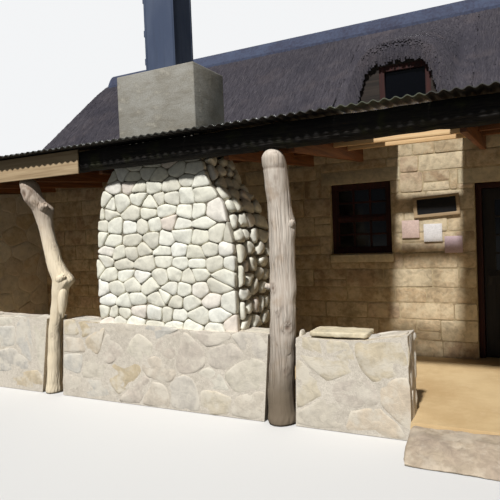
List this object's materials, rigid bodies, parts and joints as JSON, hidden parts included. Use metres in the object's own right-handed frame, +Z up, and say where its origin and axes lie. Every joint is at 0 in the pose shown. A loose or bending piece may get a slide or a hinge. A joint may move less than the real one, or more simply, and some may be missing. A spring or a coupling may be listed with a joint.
{
  "type": "thatched stone cottage",
  "caption": "Thatched sandstone cottage with an eyebrow dormer, a corrugated lean-to verandah on log posts, a rubble parapet and a fireplace chimney.",
  "frame": {"origin": "centre of the house's footprint, between its outer wall faces, at the lowest ground level", "axes": "+X along the front to the right of a person facing the verandah, +Y from the verandah to the back, +Z up"},
  "size_m": [12.1, 7.15, 4.85],
  "materials": {
    "screed_floor": "smooth ochre cement screed",
    "rough_step_stone": "rough grey-pink stone and mortar",
    "dressed_sandstone": "dressed sandstone courses with pale mortar",
    "pale_stone": "pale dressed stone",
    "dark_reed_board": "dark stained boards",
    "loft_boards": "sawn boards and beams",
    "weathered_thatch": "weathered grey-brown reed thatch",
    "ridge_mortar": "smooth grey-lilac ridge capping",
    "red_brown_joinery": "varnished red-brown joinery",
    "window_glass": "clear window glass",
    "dark_door_paint": "dark painted joinery",
    "rubble_parapet": "cream, pink and grey rubble with flush mortar",
    "silver_driftwood": "silver-grey weathered log",
    "dark_log": "dark weathered log with green and yellow stains",
    "tan_board": "tan painted board",
    "orange_pine": "orange-brown varnished pine",
    "galvanised_sheet": "weathered galvanised sheet with lichen",
    "translucent_sheet": "translucent corrugated sheet",
    "white_rubble": "white rubble stone with deep open joints",
    "plastered_block": "thinly plastered block",
    "blue_grey_steel": "blue-grey painted steel"
  },
  "bodies": {
    "cottage": {"house_floor": "screed_floor", "verandah_floor": "screed_floor", "entrance_step": "rough_step_stone", "front_wall_left": "dressed_sandstone", "front_wall_right": "dressed_sandstone", "front_wall_over_door": "dressed_sandstone", "back_wall": "dressed_sandstone", "gable_wall_left": "dressed_sandstone", "gable_wall_right": "dressed_sandstone", "stone_lintels": "pale_stone", "stone_sills": "pale_stone", "dormer_wall": "dark_reed_board", "loft_floor": "loft_boards", "ceiling_beams": "loft_boards", "thatch_front_left": "weathered_thatch", "thatch_front_right": "weathered_thatch", "thatch_apron": "weathered_thatch", "thatch_eyebrow": "weathered_thatch", "thatch_back": "weathered_thatch", "ridge_cap": "ridge_mortar", "window_frames": "red_brown_joinery", "window_panes": "window_glass", "door_frame": "red_brown_joinery", "parapet_far_left": "rubble_parapet", "parapet_left": "rubble_parapet", "parapet_middle": "rubble_parapet", "parapet_right": "rubble_parapet", "parapet_far_right": "rubble_parapet", "coping_slab": "pale_stone", "log_post_left": "silver_driftwood", "log_post_middle": "silver_driftwood", "outer_posts": "silver_driftwood", "log_beam": "dark_log", "fascia_board": "tan_board", "verandah_rafters": "orange_pine", "verandah_purlins": "orange_pine", "roof_sheets_left": "galvanised_sheet", "roof_sheets_middle": "galvanised_sheet", "clear_sheet": "translucent_sheet", "roof_sheets_right": "galvanised_sheet", "chimney_breast": "white_rubble", "chimney_stack": "plastered_block", "steel_flue": "blue_grey_steel"},
    "door": {"door_leaf": "dark_door_paint", "door_glass": "window_glass"}
  },
  "joints": [
    {"name": "door_hinge", "type": "hinge", "parent": "cottage", "child": "door", "pos_m": [1.594, -1.93, 1], "axis": [0, 0, -1], "range_deg": [0, 95]}
  ]
}
